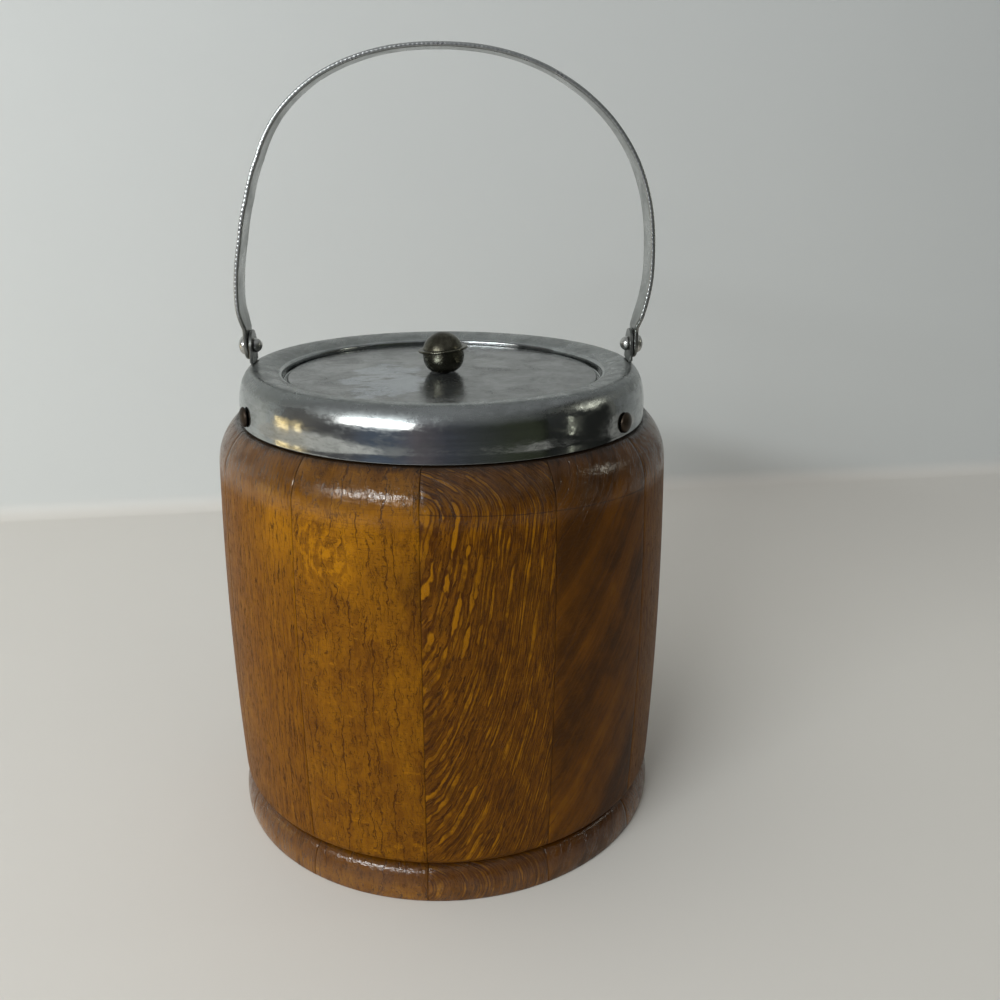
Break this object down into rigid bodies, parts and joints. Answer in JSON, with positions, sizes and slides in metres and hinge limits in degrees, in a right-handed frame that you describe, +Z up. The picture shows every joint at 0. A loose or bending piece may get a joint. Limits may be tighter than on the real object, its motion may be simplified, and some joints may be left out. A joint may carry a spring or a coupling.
{
  "type": "biscuit barrel",
  "caption": "Coopered oak biscuit barrel with a chromed spun collar, a drop-in metal lid with a ball knob, a glazed liner and a swinging strip bail.",
  "frame": {"origin": "centre of the underside, on the barrel's axis, at the surface it stands on", "axes": "+Z up along the barrel's axis, +X along the bail's pivot axis to the right of the pictured front, -Y towards the viewer"},
  "size_m": [0.15, 0.15, 0.2496],
  "materials": {
    "oak": "amber varnish, satin gloss",
    "oak_board": "plain oiled",
    "liner_glaze": "white glaze, glossy",
    "collar_chrome": "bright plate with light wear",
    "bail_chrome": "bright plate with light wear",
    "lid_chrome": "hazed and scratched plate",
    "knob_brass": "dark tarnish",
    "nail_brass": "dark tarnish",
    "rivet_steel": "bright, slightly worn",
    "fixing_steel": "plain"
  },
  "bodies": {
    "barrel": {"stave_01": "oak", "stave_02": "oak", "stave_03": "oak", "stave_04": "oak", "stave_05": "oak", "stave_06": "oak", "stave_07": "oak", "stave_08": "oak", "stave_09": "oak", "stave_10": "oak", "stave_11": "oak", "stave_12": "oak", "bottom_board": "oak_board", "liner": "liner_glaze", "collar": "collar_chrome", "collar_nail_1": "nail_brass", "collar_nail_2": "nail_brass", "collar_nail_3": "nail_brass", "ear_left": "bail_chrome", "ear_right": "bail_chrome", "rivet_left": "rivet_steel", "rivet_right": "rivet_steel"},
    "bail": {"bail": "bail_chrome"},
    "lid": {"lid_plate": "lid_chrome", "knob_lower": "knob_brass", "knob_upper": "knob_brass", "knob_stud": "fixing_steel", "knob_washer": "fixing_steel", "knob_nut": "fixing_steel"}
  },
  "joints": [
    {"name": "bail_swing", "type": "hinge", "parent": "barrel", "child": "bail", "pos_m": [0, 0, 0.16], "axis": [1, 0, 0], "range_deg": [-98, 98]},
    {"name": "lid_lift", "type": "slide", "parent": "barrel", "child": "lid", "axis": [0, 0, 1], "range_m": [0, 0.07]}
  ]
}
